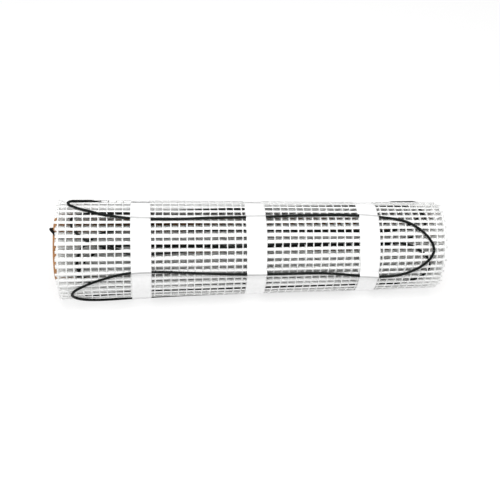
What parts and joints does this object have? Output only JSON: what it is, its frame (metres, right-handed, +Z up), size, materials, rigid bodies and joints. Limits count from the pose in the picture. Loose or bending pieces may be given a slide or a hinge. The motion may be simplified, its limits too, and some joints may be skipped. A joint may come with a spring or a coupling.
{
  "type": "underfloor heating mat",
  "caption": "White glass-fibre mesh underfloor heating mat with a black heating cable looped to and fro under white tape, rolled on a cardboard core with its cold lead folded inside.",
  "frame": {"origin": "on the floor, below the middle of the roll, at the centre of the bounding box's footprint, measured without the cold lead", "axes": "+X along the roll, towards its slimmer end; +Z up; -Y towards the side with the two long cable runs seen in the picture"},
  "size_m": [0.5105, 0.138, 0.1343],
  "materials": {
    "glass_fibre_mesh": "white coated glass-fibre mesh, open weave, semi-matte",
    "cardboard": "brown wound cardboard tube, matte",
    "cable_sheath": "black cable sheath, satin",
    "heat_shrink": "black heat-shrink sleeve, satin",
    "lead_sheath": "black flexible lead sheath, satin",
    "tape": "thin white translucent tape"
  },
  "bodies": {
    "root": {"mesh_roll": "glass_fibre_mesh", "cardboard_core": "cardboard", "heating_cable": "cable_sheath", "cable_end_seal": "heat_shrink", "cold_lead": "lead_sheath", "tape_strip_left": "tape", "tape_strip_middle": "tape", "tape_strip_right": "tape"}
  },
  "joints": []
}
